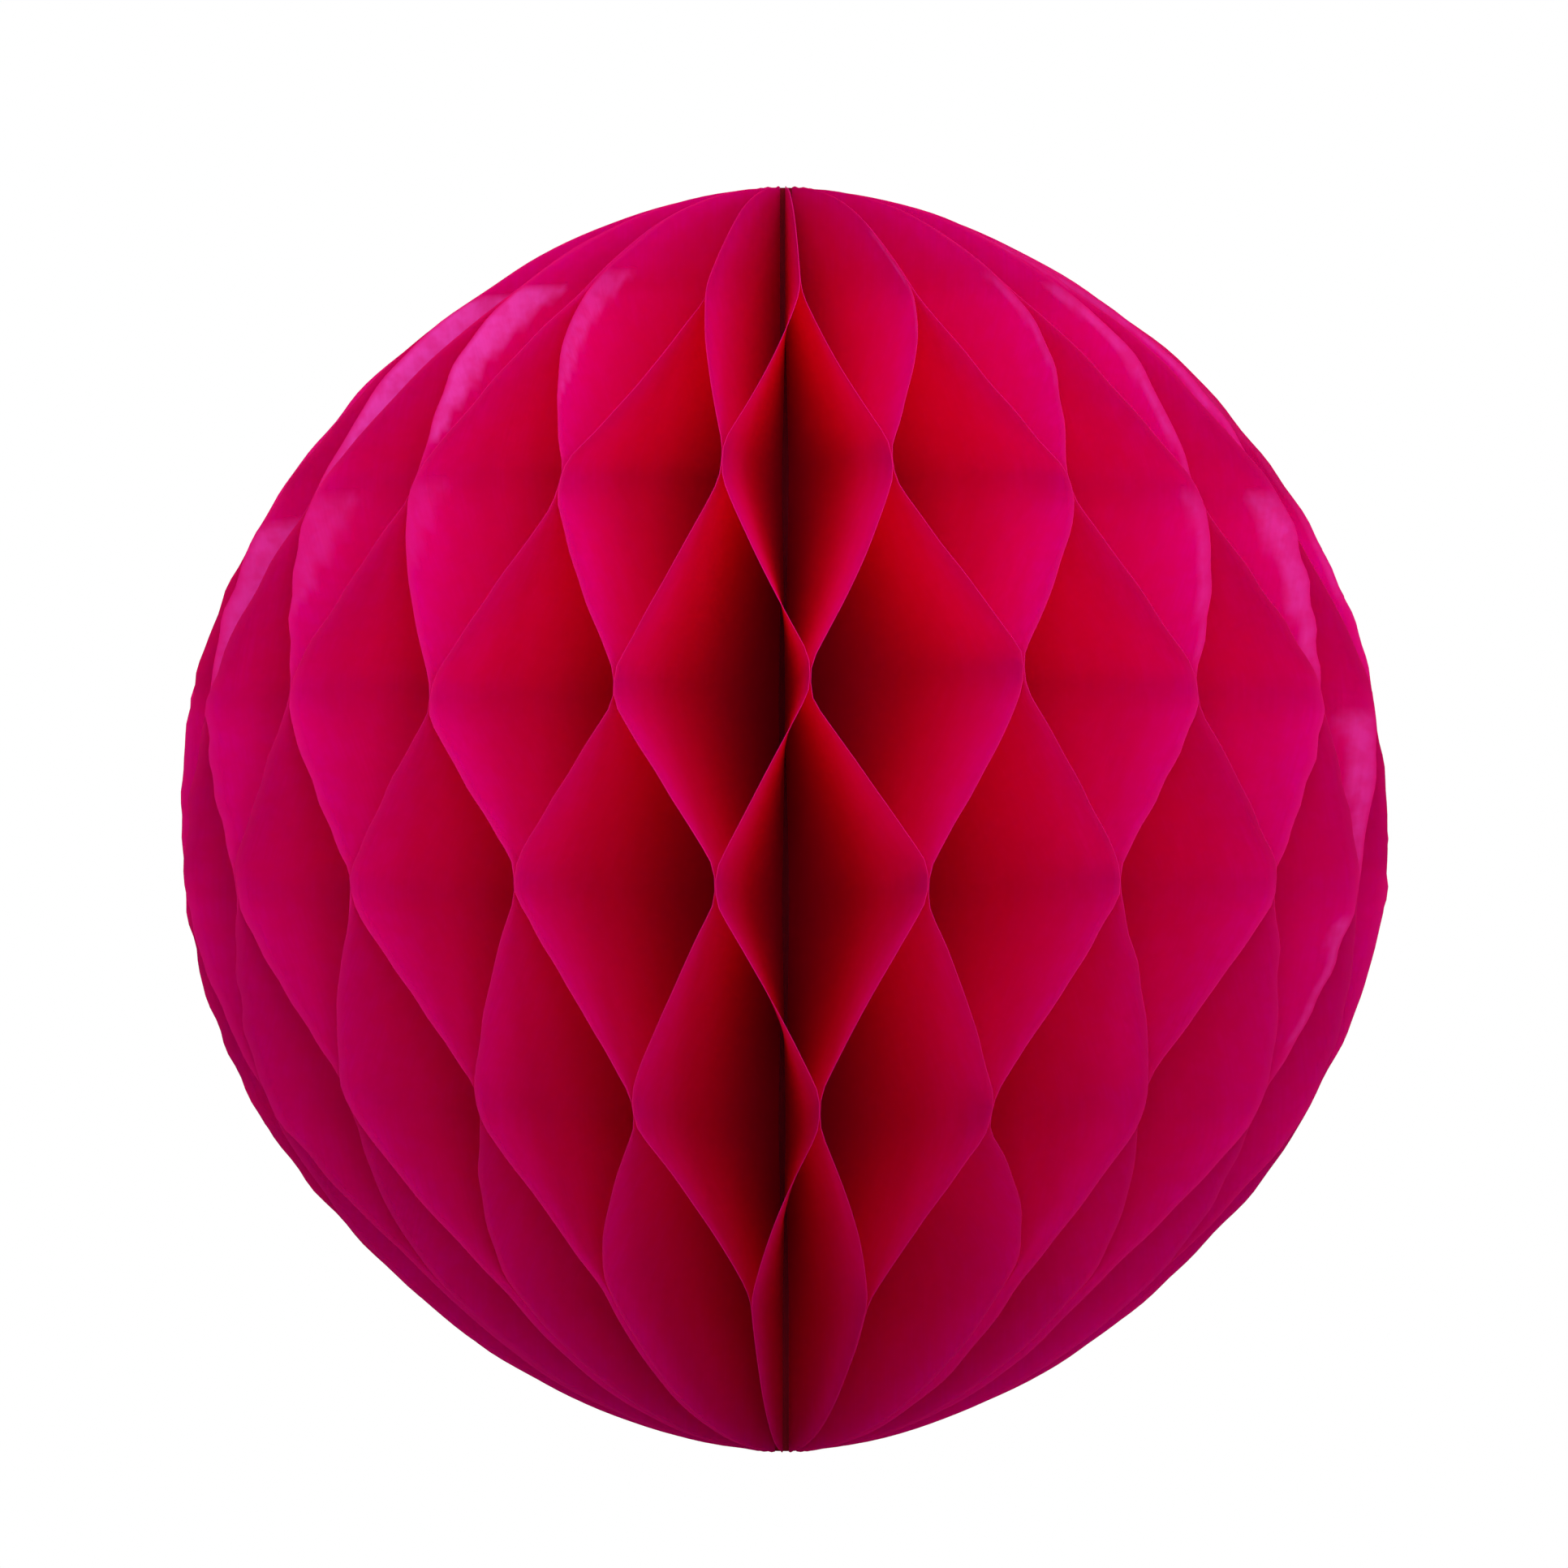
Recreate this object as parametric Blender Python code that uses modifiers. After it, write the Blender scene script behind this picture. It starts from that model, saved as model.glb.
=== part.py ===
# Honeycomb paper ball, fully opened, with its spine upright.
#
# The real ball is a pad of half-disc tissue leaves. Each leaf is glued to the next one along level strips. The
# strips on its right side and on its left side alternate up the leaf. When the pad is fanned round its straight
# edge, the strips hold the leaves together in pairs and the paper between them opens into diamond cells.
#
# Frame: metres, +Z up the spine, origin at the centre of the ball, the front of the ball towards -Y.

import math

import bmesh
import bpy

# Sizes of one leaf, as it is cut
SPINE_EDGE_LENGTH = 0.2000
LEAF_REACH = 0.0947
TIP_WIDTH = 0.0010
SHOULDER_POWER = 2.25
TIP_POWER = 1.756
LEAF_THICKNESS = 0.0003

# Glue strips, measured up the flat leaf from its middle
STRIP_PITCH = 0.0321
STRIP_OFFSET = 0.0190
STRIP_WIDTH = 0.0045
LOW_STRIP_NUMBER = -2
LOW_STRIP_DROP = 0.0030

# The pad
LEAF_PAIRS = 20
GLUE_GAP = 0.0003
SPINE_CLEARANCE = 0.0003
SPINE_END_RECESS = 0.0005

# How finely the curves are followed
HEIGHT_STEP = 0.0010
ROWS_PER_CELL_WALL = 2
ROWS_PER_TIP = 3
COLUMN_SHARES = (0.0, 0.6, 1.0)

TISSUE_COLOUR = (0.62, 0.004, 0.16, 1.0)
SPINE_COLOUR = (0.20, 0.002, 0.045, 1.0)

# Worked out from the sizes above
LEAF_COUNT = 2 * LEAF_PAIRS
HALF_STEP = math.pi / LEAF_COUNT
HALF_LENGTH = SPINE_EDGE_LENGTH / 2
SHEET_SPACING = (LEAF_THICKNESS + GLUE_GAP) / 2
SPINE_EDGE_RADIUS = SHEET_SPACING / math.tan(HALF_STEP)
TIP_REACH = SPINE_EDGE_RADIUS + TIP_WIDTH
SPINE_RADIUS = SPINE_EDGE_RADIUS - SPINE_CLEARANCE
SPINE_LENGTH = SPINE_EDGE_LENGTH - 2 * SPINE_END_RECESS


def clear_scene():
    for scene_object in list(bpy.data.objects):
        bpy.data.objects.remove(scene_object, do_unlink=True)


def make_material(name, colour, roughness):
    material = bpy.data.materials.new(name)
    material.use_nodes = True
    shader = material.node_tree.nodes["Principled BSDF"]
    shader.inputs["Base Color"].default_value = colour
    shader.inputs["Roughness"].default_value = roughness
    shader.inputs["Metallic"].default_value = 0.0
    material.diffuse_color = colour
    return material


def strip_height(number):
    """Height of a glue strip's middle on the flat leaf. Strip 0 is the first one above the leaf's middle."""
    height = STRIP_OFFSET + number * STRIP_PITCH
    if number == LOW_STRIP_NUMBER:
        height -= LOW_STRIP_DROP
    return height


def strip_numbers():
    """The strips that cross the leaf, and the one beyond each tip, where the last cells would close."""
    lowest = math.floor((-HALF_LENGTH - STRIP_OFFSET) / STRIP_PITCH) - 1
    highest = math.ceil((HALF_LENGTH - STRIP_OFFSET) / STRIP_PITCH) + 1
    return list(range(lowest, highest + 1))


def side_of(number):
    """Even strips are on the leaf's left side (+1), odd strips on its right side (-1)."""
    return 1.0 if number % 2 == 0 else -1.0


def lean(height):
    """Where the leaf stands between its neighbours at a height: +1 or -1 on a strip, straight across between."""
    half_strip = STRIP_WIDTH / 2
    for number in strip_numbers():
        strip = strip_height(number)
        following = strip_height(number + 1)
        if height <= strip + half_strip:
            return side_of(number)
        if height < following - half_strip:
            across = (height - strip - half_strip) / (following - strip - STRIP_WIDTH)
            return side_of(number) * (1 - 2 * across)
    return side_of(strip_numbers()[-1])


def leaf_reach(height):
    """How far the cut edge stands from the ball's axis at a height on the flat leaf."""
    share = min(abs(height) / HALF_LENGTH, 1.0)
    bow = (1 - share ** SHOULDER_POWER) ** (1 / TIP_POWER)
    return max(LEAF_REACH * bow, TIP_REACH)


def standing_height(reach, height):
    """Height in the opened ball of a point on the flat leaf: sideways runs between strips draw the paper in."""
    if height == 0:
        return 0.0
    steps = math.ceil(abs(height) / HEIGHT_STEP)
    step = height / steps
    total = 0.0
    sweep = HALF_STEP * reach
    for index in range(steps):
        slope = sweep * (lean((index + 1) * step) - lean(index * step)) / abs(step)
        total += math.sqrt(max(1 - slope * slope, 0.0)) * step
    return total


def row_heights():
    """Heights of the leaf's mesh rows, bottom to top: both edges of each strip, and rows between them."""
    half_strip = STRIP_WIDTH / 2
    strips = [strip_height(number) for number in strip_numbers()]
    inside = [strip for strip in strips if abs(strip) + half_strip < HALF_LENGTH]
    rows = []
    for lower, upper in zip(inside[:-1], inside[1:]):
        start = lower + half_strip
        run = upper - lower - STRIP_WIDTH
        rows += [lower - half_strip]
        rows += [start + run * index / ROWS_PER_CELL_WALL for index in range(ROWS_PER_CELL_WALL)]
    rows += [inside[-1] - half_strip, inside[-1] + half_strip]
    for index in range(1, ROWS_PER_TIP + 1):
        # Rows crowd towards the tip, where the cut edge turns in
        crowd = math.sin(index * math.pi / (2 * ROWS_PER_TIP))
        top_start = inside[-1] + half_strip
        bottom_start = inside[0] - half_strip
        rows.append(top_start + (HALF_LENGTH - top_start) * crowd)
        rows.append(bottom_start + (-HALF_LENGTH - bottom_start) * crowd)
    return sorted(rows)


def leaf_point(share, height, hand):
    """A point of the leaf's middle surface: share runs from the spine edge (0) to the cut edge (1)."""
    reach = SPINE_EDGE_RADIUS + share * (leaf_reach(height) - SPINE_EDGE_RADIUS)
    sideways = hand * lean(height) * (reach * math.tan(HALF_STEP) - SHEET_SPACING)
    return (reach, sideways, standing_height(reach, height))


def make_leaf_mesh(name, hand):
    """An open sheet of quads. Solidify gives it the thickness of the paper."""
    sheet = bmesh.new()
    rows = [[sheet.verts.new(leaf_point(share, height, hand)) for share in COLUMN_SHARES]
            for height in row_heights()]
    for lower, upper in zip(rows[:-1], rows[1:]):
        for column in range(len(COLUMN_SHARES) - 1):
            sheet.faces.new((lower[column], lower[column + 1], upper[column + 1], upper[column]))
    mesh = bpy.data.meshes.new(name)
    sheet.to_mesh(mesh)
    sheet.free()
    return mesh


def add_leaf(collection, number, mesh):
    leaf = bpy.data.objects.new(f"leaf_{number + 1:02d}", mesh)
    collection.objects.link(leaf)
    # Leaves stand half a step either side of the front, so that a glued pair faces -Y
    leaf.rotation_euler.z = -math.pi / 2 + (2 * number - 1) * HALF_STEP
    paper = leaf.modifiers.new("paper", "SOLIDIFY")
    paper.thickness = LEAF_THICKNESS
    paper.offset = 0.0
    paper.use_even_offset = True
    return leaf


def add_spine(collection, material):
    """The leaves' straight edges, glued and stitched into one core. One side of it faces each leaf."""
    bpy.ops.mesh.primitive_cylinder_add(vertices=LEAF_COUNT, radius=SPINE_RADIUS, depth=SPINE_LENGTH)
    spine = bpy.context.object
    spine.name = "spine_binding"
    spine.data.name = "spine_binding"
    spine.data.materials.append(material)
    spine.data.shade_smooth()
    spine.data.set_sharp_from_angle(angle=math.radians(40))
    for linked in list(spine.users_collection):
        linked.objects.unlink(spine)
    collection.objects.link(spine)
    return spine


def main():
    clear_scene()
    ball = bpy.data.collections.new("honeycomb_ball")
    bpy.context.scene.collection.children.link(ball)
    tissue = make_material("magenta_tissue", TISSUE_COLOUR, 0.85)
    glued_edge = make_material("glued_spine", SPINE_COLOUR, 0.9)

    even_leaf = make_leaf_mesh("leaf_even", 1.0)
    odd_leaf = make_leaf_mesh("leaf_odd", -1.0)
    for mesh in (even_leaf, odd_leaf):
        mesh.materials.append(tissue)
    for number in range(LEAF_COUNT):
        add_leaf(ball, number, even_leaf if number % 2 == 0 else odd_leaf)
    add_spine(ball, glued_edge)


main()
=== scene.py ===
import math

import bpy
import numpy as np
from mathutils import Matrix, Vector


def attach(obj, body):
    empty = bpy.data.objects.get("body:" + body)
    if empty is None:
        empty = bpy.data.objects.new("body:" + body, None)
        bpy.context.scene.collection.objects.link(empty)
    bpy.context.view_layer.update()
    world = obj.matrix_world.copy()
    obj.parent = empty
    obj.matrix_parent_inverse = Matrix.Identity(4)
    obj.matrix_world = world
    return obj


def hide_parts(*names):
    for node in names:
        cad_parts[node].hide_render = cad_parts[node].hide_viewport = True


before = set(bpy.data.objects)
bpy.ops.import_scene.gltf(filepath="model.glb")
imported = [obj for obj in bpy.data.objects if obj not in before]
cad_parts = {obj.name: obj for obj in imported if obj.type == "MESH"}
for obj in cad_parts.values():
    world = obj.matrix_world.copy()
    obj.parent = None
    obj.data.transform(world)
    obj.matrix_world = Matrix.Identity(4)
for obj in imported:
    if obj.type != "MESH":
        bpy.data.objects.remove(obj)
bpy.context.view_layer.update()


def deselectAll():
    if bpy.context.object and bpy.context.object.mode != "OBJECT":
        bpy.ops.object.mode_set(mode="OBJECT")
    bpy.ops.object.select_all(action="DESELECT")


def takeUp(piece):
    deselectAll()
    piece.select_set(True)
    bpy.context.view_layer.objects.active = piece


def pointAt(thing, target):
    away = target - thing.location
    thing.rotation_euler = away.to_track_quat("-Z", "Y").to_euler()


# The view: how far away, how high and how far round the photograph was taken, and where the ball's centre
# falls in its 1932 pixel frame
view = {
    "distance": 0.80,
    "azimuth": -3.25,           # degrees from the front, towards the left
    "elevation": -1.69,
    "framePixels": 1932,
    "pixelsPerMetre": 7792,
    "centreX": 966.5,
    "centreY": 1007,
    "sensor": 36.0,
    "clipStart": 0.01,
    "clipEnd": 20,
}


def setCamera():
    azimuth = math.radians(view["azimuth"])
    elevation = math.radians(view["elevation"])
    data = bpy.data.cameras.new("camera")
    camera = bpy.data.objects.new("camera", data)
    bpy.context.scene.collection.objects.link(camera)
    camera.location = (
        view["distance"] * math.cos(elevation) * math.sin(azimuth),
        -view["distance"] * math.cos(elevation) * math.cos(azimuth),
        view["distance"] * math.sin(elevation),
    )
    frameWidth = view["framePixels"] / view["pixelsPerMetre"]
    data.sensor_width = view["sensor"]
    data.lens = view["sensor"] * view["distance"] / frameWidth
    data.clip_start = view["clipStart"]
    data.clip_end = view["clipEnd"]
    # The camera turns a little off the ball's centre, so that the ball falls where the photograph has it
    middle = view["framePixels"] / 2
    sideways = (view["centreX"] - middle) / view["pixelsPerMetre"]
    upwards = (view["centreY"] - middle) / view["pixelsPerMetre"]
    pointAt(camera, Vector((-sideways * math.cos(azimuth), -sideways * math.sin(azimuth), upwards)))
    bpy.context.scene.camera = camera
    print("camera set")


# The room: a pale floor well below the hanging ball, in a white surround
room = {
    "floorSize": 6.0,
    "floorDrop": 0.42,          # from the ball's centre down to the floor
    "floorColour": (0.30, 0.30, 0.30, 1),
    "floorRoughness": 0.9,
    "floorGlow": 0.80,          # under the ball, how much of the floor's white the camera sees in any light
    "fadeStart": 0.7,           # the floor fades into the white surround between these distances
    "fadeEnd": 1.9,
    "surround": (1.0, 1.0, 1.0, 1),
    "surroundLight": 0.06,
}


def makeFloor():
    deselectAll()
    bpy.ops.mesh.primitive_plane_add(size=room["floorSize"], location=(0, 0, -room["floorDrop"]))
    floor = bpy.context.object
    floor.name = "floor"
    bpy.ops.object.transform_apply(location=True, rotation=False, scale=True)
    paint = bpy.data.materials.new("paleFloor")
    paint.use_nodes = True
    nodes, links = paint.node_tree.nodes, paint.node_tree.links
    plain = nodes["Principled BSDF"]
    plain.inputs["Base Color"].default_value = room["floorColour"]
    plain.inputs["Roughness"].default_value = room["floorRoughness"]
    white = nodes.new("ShaderNodeEmission")
    white.inputs["Color"].default_value = room["surround"]
    white.inputs["Strength"].default_value = 1.0
    where = nodes.new("ShaderNodeTexCoord")
    away = nodes.new("ShaderNodeVectorMath")
    away.operation = "LENGTH"
    links.new(where.outputs["Object"], away.inputs[0])
    fade = nodes.new("ShaderNodeMapRange")
    fade.interpolation_type = "SMOOTHSTEP"
    fade.inputs["From Min"].default_value = room["fadeStart"]
    fade.inputs["From Max"].default_value = room["fadeEnd"]
    fade.inputs["To Min"].default_value = room["floorGlow"]
    links.new(away.outputs["Value"], fade.inputs["Value"])
    path = nodes.new("ShaderNodeLightPath")
    share = nodes.new("ShaderNodeMath")
    share.operation = "MULTIPLY"
    links.new(path.outputs["Is Camera Ray"], share.inputs[0])
    links.new(fade.outputs[0], share.inputs[1])
    mix = nodes.new("ShaderNodeMixShader")
    links.new(share.outputs[0], mix.inputs[0])
    links.new(plain.outputs[0], mix.inputs[1])
    links.new(white.outputs[0], mix.inputs[2])
    links.new(mix.outputs[0], nodes["Material Output"].inputs["Surface"])
    floor.data.materials.append(paint)
    print("floor laid")


def makeSurround():
    world = bpy.data.worlds.new("surround")
    bpy.context.scene.world = world
    world.use_nodes = True
    nodes, links = world.node_tree.nodes, world.node_tree.links
    soft = nodes["Background"]
    soft.inputs["Color"].default_value = room["surround"]
    soft.inputs["Strength"].default_value = room["surroundLight"]
    seen = nodes.new("ShaderNodeBackground")
    seen.inputs["Color"].default_value = room["surround"]
    seen.inputs["Strength"].default_value = 1.0
    path = nodes.new("ShaderNodeLightPath")
    mix = nodes.new("ShaderNodeMixShader")
    links.new(path.outputs["Is Camera Ray"], mix.inputs[0])
    links.new(soft.outputs[0], mix.inputs[1])
    links.new(seen.outputs[0], mix.inputs[2])
    links.new(mix.outputs[0], nodes["World Output"].inputs["Surface"])
    print("white surround made")


# Soft round lamps, all turned to the ball
lamps = {
    "overhead": {"place": (0.0, -0.2, 0.62), "size": 0.8, "power": 2.5},
    "overheadLeft": {"place": (-0.5, -0.3, 0.5), "size": 0.7, "power": 1.0},
    "overheadRight": {"place": (0.5, -0.3, 0.5), "size": 0.7, "power": 0.8},
    "frontHigh": {"place": (0.0, -0.75, 0.42), "size": 0.5, "power": 1.45},
    "front": {"place": (0.0, -0.9, 0.05), "size": 0.4, "power": 1.6},
    "frontLeft": {"place": (-0.55, -0.9, 0.1), "size": 0.4, "power": 0.72},
    "frontRight": {"place": (0.55, -0.9, 0.1), "size": 0.4, "power": 1.0},
    "frontLow": {"place": (0.0, -1.2, -0.45), "size": 0.8, "power": 2.8},
    "left": {"place": (-0.9, -1.1, -0.3), "size": 1.0, "power": 2.0},
    "right": {"place": (1.15, -1.1, 0.42), "size": 1.3, "power": 5.0},
    "back": {"place": (0.0, 1.9, 0.4), "size": 1.2, "power": 19.0},
}


def hangLamps():
    for name, lamp in lamps.items():
        data = bpy.data.lights.new(name, "AREA")
        data.shape = "DISK"
        data.size = lamp["size"]
        data.energy = lamp["power"]
        light = bpy.data.objects.new(name, data)
        bpy.context.scene.collection.objects.link(light)
        light.location = lamp["place"]
        pointAt(light, Vector((0, 0, 0)))
    print("lamps hung")


# The tissue: matt magenta paper that light goes through, cloudy and faintly streaked with fibre
tissue = {
    # Colour at shares of the depth in from the cut edge, a painted shade: the outer part, where light falls
    # most, is painted darker and bluer, the deep part brighter and redder
    "paintedShadeByDepth": ((0.0, (0.82, 0.0, 0.38, 1)), (0.25, (0.86, 0.0, 0.26, 1)),
                (0.75, (0.99, 0.0, 0.16, 1)), (1.0, (1.0, 0.0, 0.12, 1))),
    "depth": 0.042,
    "through": (1.0, 0.0, 0.16, 1),     # the colour of light that goes through the sheet
    "glow": 0.54,                       # and its share of the light
    "roughness": 0.8,
    "shine": 0.0,
    "thick": (0.985, 0.0, 0.78, 1),     # what a thick patch or a streak of fibre leaves of the colour
    "cloudScale": 26,                   # to a decimetre of sheet, so cloudy at about 4 mm
    "cloudDetail": 2,
    "cloudRoughness": 0.7,
    "cloudRange": (0.35, 0.65),
    "streakScale": 12,
    "streakStretch": (16, 0.6, 1),      # upright streaks, a millimetre or less apart
    "streakRange": (0.40, 0.62),
    "streakShare": 0.55,
    "relief": 0.18,
    "reliefHeight": 0.0002,
    "glueStain": 0.2,                   # how much a glued strip darkens
    "paintedLight": (1.0, 0.10, 0.85, 1),      # painted highlight: pale pink where direct light falls along the sheet's cut edge
    "paintedLightRange": (0.35, 0.60),         # the fibre breaks up a painted highlight patch
    "paintedLightLeast": 0.60,
    "fuzz": (0.84, 0.012, 0.33, 1),     # the furry cut edge itself
    "fuzzWidth": 0.0010,
}


def tissueMaterial():
    material = bpy.data.materials.new("magentaTissue")
    material.use_nodes = True
    nodes, links = material.node_tree.nodes, material.node_tree.links
    shader = nodes["Principled BSDF"]
    shader.inputs["Roughness"].default_value = tissue["roughness"]
    shader.inputs["Specular IOR Level"].default_value = tissue["shine"]
    sheetMap = nodes.new("ShaderNodeUVMap")
    sheetMap.uv_map = "sheet"

    def noise(scale, detail=0, roughness=0.5, stretch=(1, 1, 1)):
        stretched = nodes.new("ShaderNodeMapping")
        stretched.inputs["Scale"].default_value = stretch
        links.new(sheetMap.outputs[0], stretched.inputs[0])
        texture = nodes.new("ShaderNodeTexNoise")
        texture.noise_dimensions = "2D"
        texture.inputs["Scale"].default_value = scale
        texture.inputs["Detail"].default_value = detail
        texture.inputs["Roughness"].default_value = roughness
        links.new(stretched.outputs[0], texture.inputs["Vector"])
        return texture.outputs[0]

    def spread(value, span, least=0.0, most=1.0):
        ranged = nodes.new("ShaderNodeMapRange")
        ranged.inputs["From Min"].default_value = span[0]
        ranged.inputs["From Max"].default_value = span[1]
        ranged.inputs["To Min"].default_value = least
        ranged.inputs["To Max"].default_value = most
        links.new(value, ranged.inputs["Value"])
        return ranged.outputs[0]

    def painted(name):
        attribute = nodes.new("ShaderNodeAttribute")
        attribute.attribute_name = name
        return attribute.outputs["Fac"]

    def feed(socket, value):
        if isinstance(value, (float, tuple)):
            socket.default_value = value
        else:
            links.new(value, socket)

    def times(first, second):
        product = nodes.new("ShaderNodeMath")
        product.operation = "MULTIPLY"
        feed(product.inputs[0], first)
        feed(product.inputs[1], second)
        return product.outputs[0]

    def colourMix(share, first, second, blend="MIX"):
        mixer = nodes.new("ShaderNodeMix")
        mixer.data_type = "RGBA"
        mixer.blend_type = blend
        feed(mixer.inputs[0], share)
        feed(mixer.inputs[6], first)
        feed(mixer.inputs[7], second)
        return mixer.outputs[2]

    # Painted shade by depth: darker and bluer at the well-lit cut edge, brighter and redder deep in the cells
    paintedShadeByDepth = nodes.new("ShaderNodeValToRGB")
    stops = paintedShadeByDepth.color_ramp.elements
    while len(stops) < len(tissue["paintedShadeByDepth"]):
        stops.new(0.5)
    for stop, (share, colour) in zip(stops, tissue["paintedShadeByDepth"]):
        stop.position = share
        stop.color = colour
    links.new(painted("depth"), paintedShadeByDepth.inputs[0])

    # Clouds and streaks of fibre, darker glued strips, painted highlights along the cut edge and the furry
    # edge, one over the other
    clouds = noise(tissue["cloudScale"], tissue["cloudDetail"], tissue["cloudRoughness"])
    streaks = noise(tissue["streakScale"], stretch=tissue["streakStretch"])
    cloudy = colourMix(spread(clouds, tissue["cloudRange"]), tissue["thick"], (1.0, 1.0, 1.0, 1))
    streakShare = spread(streaks, tissue["streakRange"], most=tissue["streakShare"])
    streaked = colourMix(streakShare, cloudy, tissue["thick"])
    fibreOverPaintedShade = colourMix(1.0, paintedShadeByDepth.outputs[0], streaked, "MULTIPLY")
    glued = colourMix(times(painted("glue"), tissue["glueStain"]), fibreOverPaintedShade, tissue["thick"], "MULTIPLY")
    # Painted highlights: pale pink patches along the cut edge where direct light would fall
    patchyLight = spread(clouds, tissue["paintedLightRange"], least=tissue["paintedLightLeast"])
    withPaintedLight = colourMix(times(painted("paintedLight"), patchyLight), glued, tissue["paintedLight"])
    furry = colourMix(painted("cutEdge"), withPaintedLight, tissue["fuzz"])
    links.new(furry, shader.inputs["Base Color"])

    relief = nodes.new("ShaderNodeBump")
    relief.inputs["Strength"].default_value = tissue["relief"]
    relief.inputs["Distance"].default_value = tissue["reliefHeight"]
    links.new(streaks, relief.inputs["Height"])
    links.new(relief.outputs[0], shader.inputs["Normal"])

    through = nodes.new("ShaderNodeBsdfTranslucent")
    through.inputs["Color"].default_value = tissue["through"]
    mix = nodes.new("ShaderNodeMixShader")
    mix.inputs[0].default_value = tissue["glow"]
    links.new(shader.outputs[0], mix.inputs[1])
    links.new(through.outputs[0], mix.inputs[2])
    links.new(mix.outputs[0], nodes["Material Output"].inputs["Surface"])
    return material


# One tissue leaf, as cut and glued
leaf = {
    "count": 40,
    "spineHalf": 0.0996,        # half the straight edge
    "reach": 0.0947,            # from the axis to the cut edge, at the widest
    "tipReach": 0.0048,
    "spineEdge": 0.00355,       # where the leaf meets the spine core
    "shoulderPower": 2.25,
    "tipPower": 1.756,
    # Where the cut strays from its curve: height, spread and how much too full (or, below 0, too short)
    "cutFlaws": ((0.0745, 0.0085, 0.0013), (0.0985, 0.0035, -0.0007)),
    "ragged": 0.00022,          # unevenness of the cut edge
    "tipSmoothness": 0.02,      # near the tips it fades, over this much reach
    "ripples": 7,
    "rippleStrength": (0.4, 1.0),
    "rippleUp": (150, 900),     # radians to a metre
    "stripPitch": 0.0321,
    "stripOffset": 0.0190,
    "stripWidth": 0.0045,
    "lowStrip": -2,
    "lowStripDrop": 0.0030,
    "bondDrift": 0.025,         # how far a bond strays sideways, as a share of half a leaf step
    "bondShift": 0.00015,       # and up or down
    "foldSoftness": 0.0011,     # how gently the paper turns off a strip
    "foldSpan": 4.5,            # a fold reaches this many times its softness either way
    "leastRise": 0.05,          # the steepest that paper stands between two strips, squared
    "thickness": 0.00007,
    "pressed": 0.00003,         # how far the glue presses two sheets into each other
    "besideFrom": 0.004,        # off the spine, glued sheets come to lie side by side over this distance
    "waver": 0.00035,           # slack of the paper between strips
    "buckles": 5,
    "buckleStrength": (0.3, 1.0),
    "buckleAcross": (30, 130),  # radians to a metre
    "buckleUp": (-60, 60),
    "columns": 24,
    "columnCrowding": 1.6,      # columns crowd towards the cut edge
    "rows": 130,
    "rowCrowding": 0.86,        # rows crowd towards the tips, up to 1
    "pathPoints": 801,          # heights at which a leaf's path is worked out
    "reachSteps": 48,           # and distances from the axis at which its standing height is
    "furthest": 1.02,           # they end a little beyond the leaf's reach, as its edge does
    "foldAngle": 50,            # degrees, beyond which an edge stays sharp
    "glueFade": 0.0008,         # a glued strip's stain fades out over this distance
    "mapScale": 10,             # the sheet's own map is in decimetres
    "mapStarts": 40,            # and begins anywhere within this many
    "bondSeed": 21,
    "leafSeed": 121,
}

# Bonds at the front that were glued visibly off their place, as seen: strip and leaf, then millimetres to the
# right and up
strayBonds = {
    (2, 0): (-0.7, -1.2),
    (2, 38): (2.7, -1.6),
    (2, 2): (-1.0, -0.7),
    (1, 39): (-0.8, 1.6),
    (1, 1): (-1.7, 2.6),
    (1, 37): (1.0, -0.5),
    (1, 35): (0.3, 0.9),
    (1, 33): (0.0, 1.5),
    (0, 0): (-1.7, 0.3),
    (0, 38): (-0.1, -0.8),
    (0, 2): (0.0, 1.6),
    (0, 36): (0.2, -1.9),
    (0, 6): (1.0, -0.3),
    (-1, 39): (-0.2, -0.7),
    (-1, 1): (0.1, -0.7),
    (-1, 5): (1.3, -0.2),
    (-1, 35): (0.3, -0.9),
    (-2, 2): (-0.9, -0.3),
    (-2, 36): (1.5, 0.5),
    (-2, 4): (-1.2, 0.0),
    (-2, 34): (1.0, 0.9),
    (-3, 39): (1.1, -1.0),
    (-3, 1): (-0.6, -1.1),
    (-3, 37): (-1.0, 1.2),
    (-3, 3): (2.0, 2.4),
}

# Painted highlights: where a leaf is painted pale pink along its cut edge, as if lit there by direct light,
# with its neighbour's shadow as the inner edge: from which height up to which, how far in from the edge at
# the upper end (all in millimetres), and how strongly. The patch narrows downwards.
paintedLightPatches = {
    32: ((21, 50, 14, 0.50),),
    33: ((51, 83, 14, 0.88),),
    34: ((33, 51.5, 9, 0.22),),
    35: ((58, 83, 10, 0.85),),
    36: ((38, 51.5, 8, 0.12),),
    37: ((64, 84, 9, 0.40),),
    0: ((84, 100, 2, 0.7), (76, 81, 1.5, 0.8)),
    2: ((72, 90, 1.5, 0.6),),
    4: ((66, 84, 3, 0.30),),
    5: ((22, 51.5, 3.5, 0.30), (84.5, 96, 5, 0.35)),
    6: ((52, 84, 3.5, 0.40),),
    7: ((19, 51.5, 6, 0.48), (82, 92, 2, 0.5), (-42, -17, 2, 0.6)),
    8: ((-11, 19, 6, 0.50), (50, 92, 2.5, 0.4)),
    9: ((30, 92, 2, 0.40),),
}
lightPatchShape = {
    "narrowing": 0.6,
    "upperFade": 0.7,           # its upper end fades over this many millimetres
    "innerSharpness": 6,
    "leastWidth": 0.00001,
}

halfStep = math.pi / leaf["count"]


# Where the glue strips lie on the flat sheet
def stripHeight(number):
    height = leaf["stripOffset"] + number * leaf["stripPitch"]
    if number == leaf["lowStrip"]:
        height -= leaf["lowStripDrop"]
    return height


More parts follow.
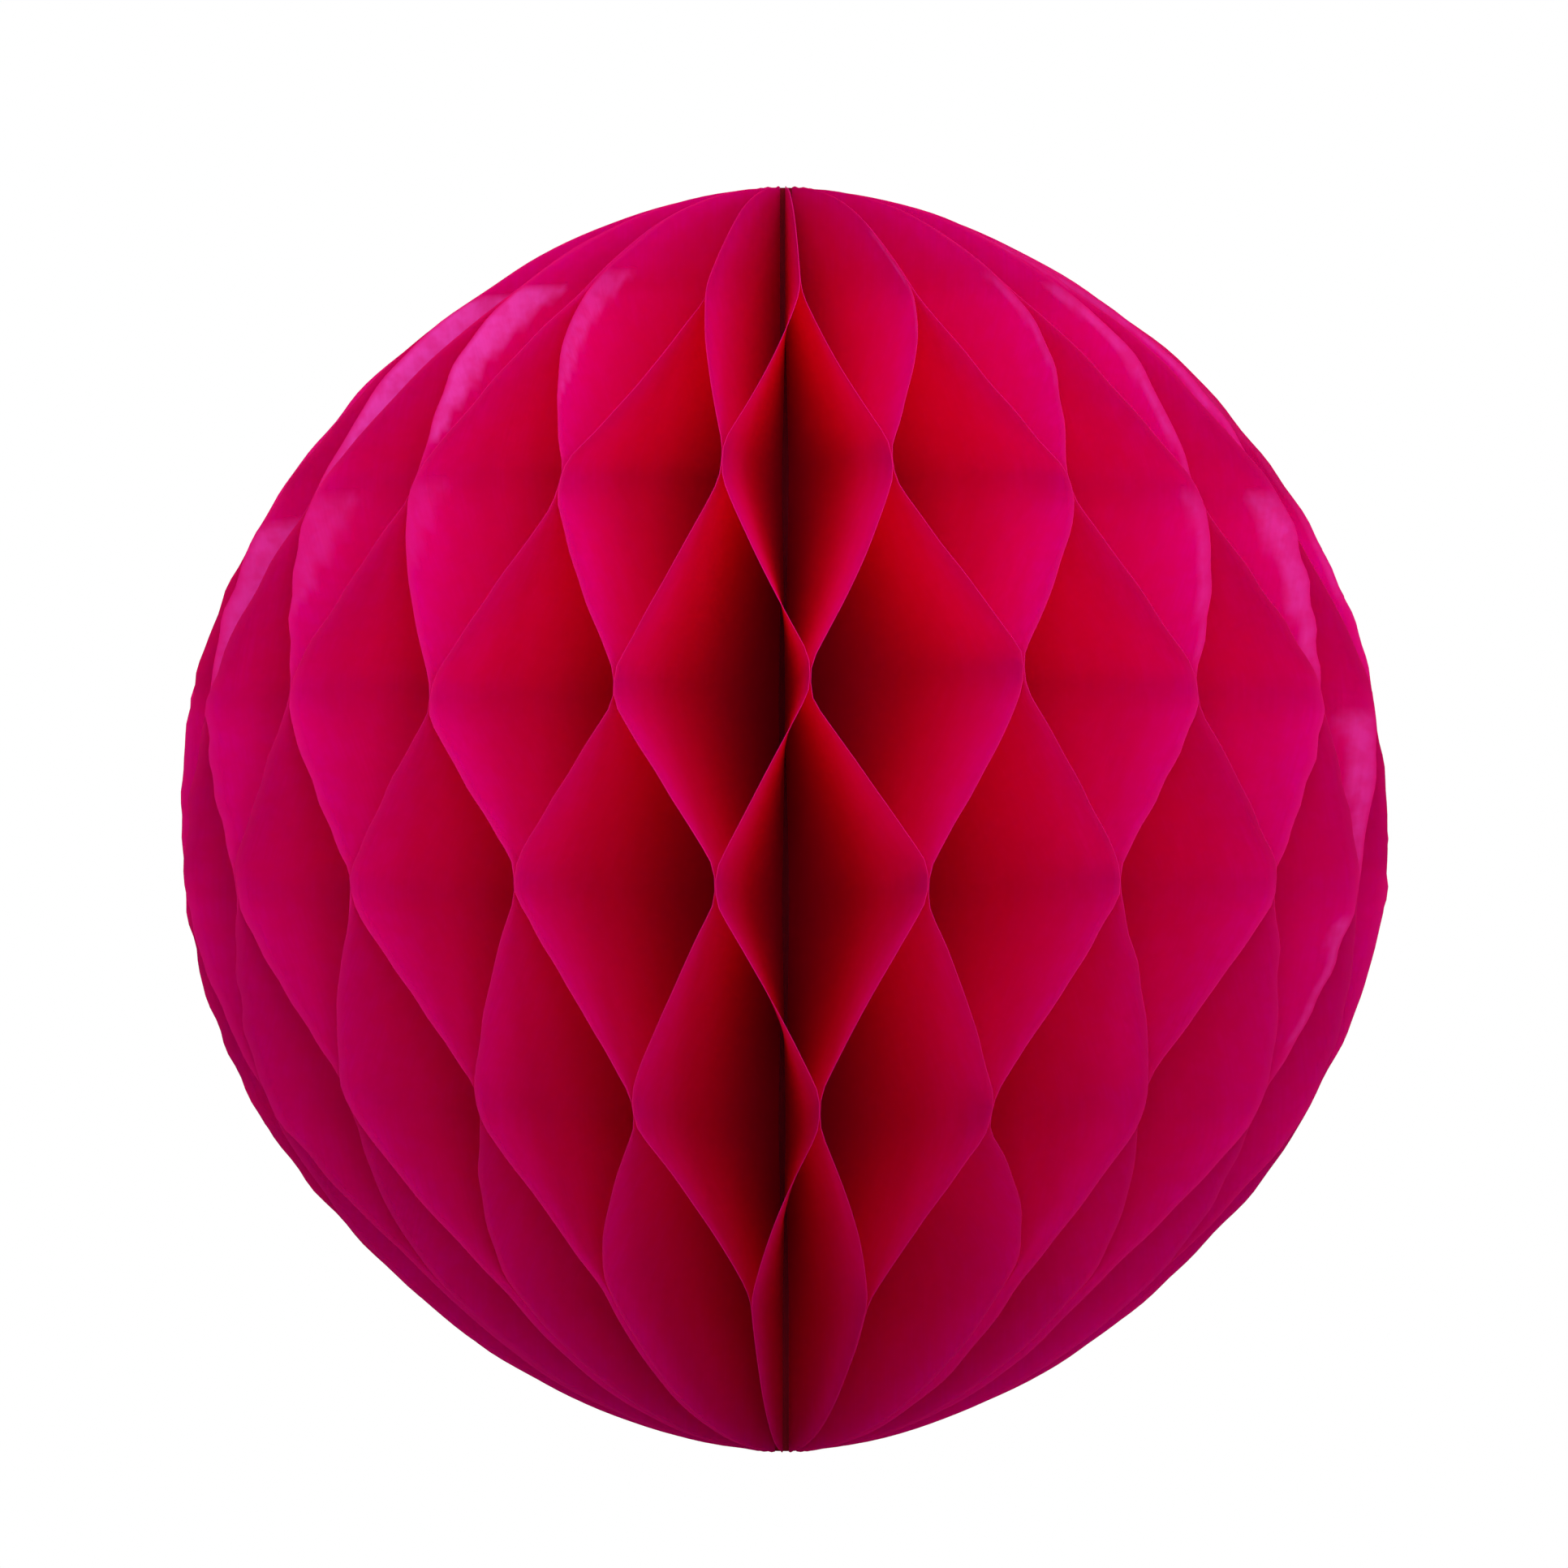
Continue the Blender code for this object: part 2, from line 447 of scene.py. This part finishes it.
# How far the cut edge stands from the axis
def cutReach(heights):
    share = np.clip(np.abs(heights) / leaf["spineHalf"], 0, 1)
    bow = (1 - share ** leaf["shoulderPower"]) ** (1 / leaf["tipPower"])
    reach = leaf["reach"] * bow
    for place, spread, extra in leaf["cutFlaws"]:
        reach = reach + extra * np.exp(-((heights - place) / spread) ** 2)
    return np.maximum(reach, leaf["tipReach"])


firstStrip = math.ceil((-leaf["spineHalf"] - leaf["stripOffset"]) / leaf["stripPitch"])
lastStrip = math.floor((leaf["spineHalf"] - leaf["stripOffset"]) / leaf["stripPitch"])
strips = list(range(firstStrip, lastStrip + 1))

# Each bond strays a little. A bond belongs to the leaf on its left and to a strip, and both leaves follow it.
chance = np.random.default_rng(leaf["bondSeed"])
bondDrift = chance.normal(0, leaf["bondDrift"], (leaf["count"], len(strips)))
bondShift = chance.normal(0, leaf["bondShift"], (leaf["count"], len(strips)))
for (strip, bond), (right, up) in strayBonds.items():
    across = math.cos(2 * bond * halfStep - math.radians(view["azimuth"]))
    bondDrift[bond, strips.index(strip)] = right / 1000 / (across * halfStep * cutReach(stripHeight(strip)))
    bondShift[bond, strips.index(strip)] = up / 1000


# Paper folds softly: a path's corners are rounded
def softened(path, step):
    half = math.ceil(leaf["foldSpan"] * leaf["foldSoftness"] / step)
    fold = np.exp(-0.5 * (np.arange(-half, half + 1) * step / leaf["foldSoftness"]) ** 2)
    return np.convolve(np.pad(path, half, mode="edge"), fold / fold.sum(), mode="valid")


# A leaf's path between its neighbours, up the flat sheet: its sideways lean in half leaf steps, the side that
# is glued, and how slack it is. It runs straight from strip to strip, and past the last strips the glued pair
# stays together.
def leafPath(number, heights):
    places, leans, sides = [], [], []
    half = leaf["stripWidth"] / 2
    for index, strip in enumerate(strips):
        facesLeft = (strip % 2 == 0) == (number % 2 == 0)
        side = 1 if facesLeft else -1
        bond = number if facesLeft else (number - 1) % leaf["count"]
        middle = stripHeight(strip) + bondShift[bond, index]
        places += [middle - half, middle + half]
        leans += [side + bondDrift[bond, index]] * 2
        sides += [side] * 2
    step = heights[1] - heights[0]
    lean = softened(np.interp(heights, places, leans), step)
    glued = softened(np.interp(heights, places, sides), step)
    cell = np.interp(heights, places, np.repeat(np.arange(len(strips)), 2))
    return lean, glued, np.sin(np.pi * cell) ** 2


# Sideways runs draw the paper in, more so far from the spine: how high each point of the sheet then stands
def standingHeight(lean, heights, height, reach):
    reaches = np.linspace(0, leaf["reach"] * leaf["furthest"], leaf["reachSteps"])
    slope = np.gradient(lean, heights) * halfStep
    rise = np.sqrt(np.clip(1 - (reaches[:, None] * slope) ** 2, leaf["leastRise"], 1))
    climbs = (rise[:, 1:] + rise[:, :-1]) / 2 * (heights[1] - heights[0])
    climbed = np.pad(np.cumsum(climbs, axis=1), ((0, 0), (1, 0)))
    climbed -= climbed[:, [len(heights) // 2]]
    atReaches = np.array([np.interp(height, heights, line) for line in climbed])
    place = reach / reaches[1]
    lower = np.clip(place.astype(int), 0, len(reaches) - 2)
    share = place - lower
    points = np.arange(len(height))
    return atReaches[lower, points] * (1 - share) + atReaches[lower + 1, points] * share


# How much painted highlight a leaf gets at heights up the flat sheet and distances in from its cut edge
def paintedLightOn(number, height, inwards):
    paintedLight = np.zeros_like(height)
    for low, high, width, strength in paintedLightPatches.get(number, ()):
        climb = np.clip((height * 1000 - low) / (high - low), 0, 1)
        across = width / 1000 * climb ** lightPatchShape["narrowing"]
        ended = np.clip((high - height * 1000) / lightPatchShape["upperFade"], 0, 1) * (climb > 0)
        covered = 1 - inwards / np.maximum(across, lightPatchShape["leastWidth"])
        inner = np.clip(lightPatchShape["innerSharpness"] * covered, 0, 1)
        paintedLight = np.maximum(paintedLight, strength * ended * inner)
    return paintedLight


# Waves of random strength and length, about 1 high in all. Each direction is a distance with its radians to
# a metre.
def randomWaves(own, count, strength, *directions):
    waves = 0
    for _ in range(count):
        height = own.uniform(*strength)
        phase = sum(distance * own.uniform(*radians) for distance, radians in directions)
        waves = waves + height * np.sin(phase + own.uniform(0, 2 * math.pi))
    return waves / 2


def paintOn(mesh, name, values):
    attribute = mesh.attributes.new(name, "FLOAT", "POINT")
    attribute.data.foreach_set("value", np.clip(values, 0, 1).astype(np.float32))


def makeLeaf(number, material):
    own = np.random.default_rng(leaf["leafSeed"] + number)
    heights = np.linspace(-leaf["spineHalf"], leaf["spineHalf"], leaf["pathPoints"])
    lean, glued, slack = leafPath(number, heights)

    # A flat sheet of tissue, two units wide and tall, that is then cut, glued and fanned
    deselectAll()
    bpy.ops.mesh.primitive_grid_add(x_subdivisions=leaf["columns"], y_subdivisions=leaf["rows"], size=2)
    piece = bpy.context.object
    piece.name = f"tissueLeaf{number + 1:02d}"
    mesh = piece.data
    mesh.name = piece.name
    flat = np.zeros(len(mesh.vertices) * 3)
    mesh.vertices.foreach_get("co", flat)
    flat = flat.reshape(-1, 3)
    across = 1 - ((1 - flat[:, 0]) / 2) ** leaf["columnCrowding"]
    crowding = math.pi / 2 * leaf["rowCrowding"]
    height = np.sin(flat[:, 1] * crowding) / math.sin(crowding) * leaf["spineHalf"]

    # The cut edge, a little uneven
    edge = cutReach(height)
    ripple = randomWaves(own, leaf["ripples"], leaf["rippleStrength"], (height, leaf["rippleUp"]))
    edge += leaf["ragged"] * ripple * np.clip((edge - leaf["tipReach"]) / leaf["tipSmoothness"], 0, 1)
    reach = leaf["spineEdge"] + across * (edge - leaf["spineEdge"])
    inwards = edge - reach

    # It leans to its neighbours and lies beside their sheets, and slack paper between strips buckles gently
    spacing = (leaf["thickness"] - leaf["pressed"]) / 2
    beside = np.clip((reach - leaf["spineEdge"]) / leaf["besideFrom"], 0, 1)
    sideways = np.interp(height, heights, lean) * halfStep * reach
    sideways -= np.interp(height, heights, glued) * spacing * beside
    buckle = randomWaves(own, leaf["buckles"], leaf["buckleStrength"],
                         (reach, leaf["buckleAcross"]), (height, leaf["buckleUp"]))
    loose = np.interp(height, heights, slack) * np.clip(reach / leaf["reach"], 0, 1)
    sideways += leaf["waver"] * buckle * loose

    turn = -math.pi / 2 + (2 * number - 1) * halfStep
    placed = np.empty_like(flat)
    placed[:, 0] = reach * math.cos(turn) - sideways * math.sin(turn)
    placed[:, 1] = reach * math.sin(turn) + sideways * math.cos(turn)
    placed[:, 2] = standingHeight(lean, heights, height, reach)
    mesh.vertices.foreach_set("co", placed.ravel())

    fromStrip = np.min([np.abs(height - stripHeight(strip)) for strip in strips], axis=0)
    paintOn(mesh, "glue", (leaf["stripWidth"] / 2 - fromStrip) / leaf["glueFade"] + 0.5)
    paintOn(mesh, "depth", inwards / tissue["depth"])
    # painted highlight patches along the cut edge
    paintOn(mesh, "paintedLight", paintedLightOn(number, height, inwards))
    paintOn(mesh, "cutEdge", 1 - inwards / tissue["fuzzWidth"])

    # The sheet's own map begins somewhere else on each leaf
    sheetMap = mesh.uv_layers[0]
    sheetMap.name = "sheet"
    corners = np.zeros(len(mesh.loops), int)
    mesh.loops.foreach_get("vertex_index", corners)
    layout = np.stack([reach, height], axis=1) * leaf["mapScale"] + own.uniform(0, leaf["mapStarts"], 2)
    sheetMap.data.foreach_set("uv", layout[corners].ravel().astype(np.float32))
    mesh.update()

    takeUp(piece)
    paper = piece.modifiers.new("paper", "SOLIDIFY")
    paper.thickness = leaf["thickness"]
    paper.offset = 0
    bpy.ops.object.modifier_apply(modifier=paper.name)
    bpy.ops.object.shade_smooth_by_angle(angle=math.radians(leaf["foldAngle"]))
    mesh.materials.append(material)
    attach(piece, "root")
    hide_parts(f"leaf_{number + 1:02d}")


def makeLeaves():
    paper = tissueMaterial()
    for number in range(leaf["count"]):
        makeLeaf(number, paper)
    print("leaves glued and fanned")


# The spine: the leaves' straight edges, soaked with glue and stitched into a core.
# Its near-black crimson is partly glue and partly painted shade, for the shadow at the bottom of the valley
# between the leaves
spine = {
    "darkGlueAndShade": (0.12, 0.0, 0.006, 1),
    "paleGlueAndShade": (0.22, 0.0, 0.014, 1),
    "roughness": 0.8,
    "shine": 0.1,
    "grain": (900, 900, 60),    # to a metre, so drawn out up the spine
    "grainDetail": 4,
    "relief": 0.4,
    "reliefHeight": 0.0003,
}


def finishSpine():
    material = bpy.data.materials.new("gluedSpine")
    material.use_nodes = True
    nodes, links = material.node_tree.nodes, material.node_tree.links
    shader = nodes["Principled BSDF"]
    shader.inputs["Roughness"].default_value = spine["roughness"]
    shader.inputs["Specular IOR Level"].default_value = spine["shine"]
    where = nodes.new("ShaderNodeTexCoord")
    stretched = nodes.new("ShaderNodeMapping")
    stretched.inputs["Scale"].default_value = spine["grain"]
    links.new(where.outputs["Object"], stretched.inputs[0])
    grain = nodes.new("ShaderNodeTexNoise")
    grain.inputs["Scale"].default_value = 1.0
    grain.inputs["Detail"].default_value = spine["grainDetail"]
    links.new(stretched.outputs[0], grain.inputs["Vector"])
    # Near-black glue colours, partly painted shade for the shadowed valley bottom
    ramp = nodes.new("ShaderNodeValToRGB")
    ramp.color_ramp.elements[0].color = spine["darkGlueAndShade"]
    ramp.color_ramp.elements[1].color = spine["paleGlueAndShade"]
    links.new(grain.outputs[0], ramp.inputs[0])
    links.new(ramp.outputs[0], shader.inputs["Base Color"])
    relief = nodes.new("ShaderNodeBump")
    relief.inputs["Strength"].default_value = spine["relief"]
    relief.inputs["Distance"].default_value = spine["reliefHeight"]
    links.new(grain.outputs[0], relief.inputs["Height"])
    links.new(relief.outputs[0], shader.inputs["Normal"])

    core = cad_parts["spine_binding"]
    core.data.materials.clear()
    core.data.materials.append(material)
    print("spine finished")


# Light goes on from leaf to leaf, deep into the cells
lightBounces = 9
cycles = bpy.context.scene.cycles
cycles.max_bounces = lightBounces
cycles.diffuse_bounces = lightBounces
cycles.transmission_bounces = lightBounces
cycles.use_light_tree = False
bpy.context.scene.view_settings.view_transform = "Standard"

setCamera()
makeFloor()
makeSurround()
hangLamps()
makeLeaves()
finishSpine()
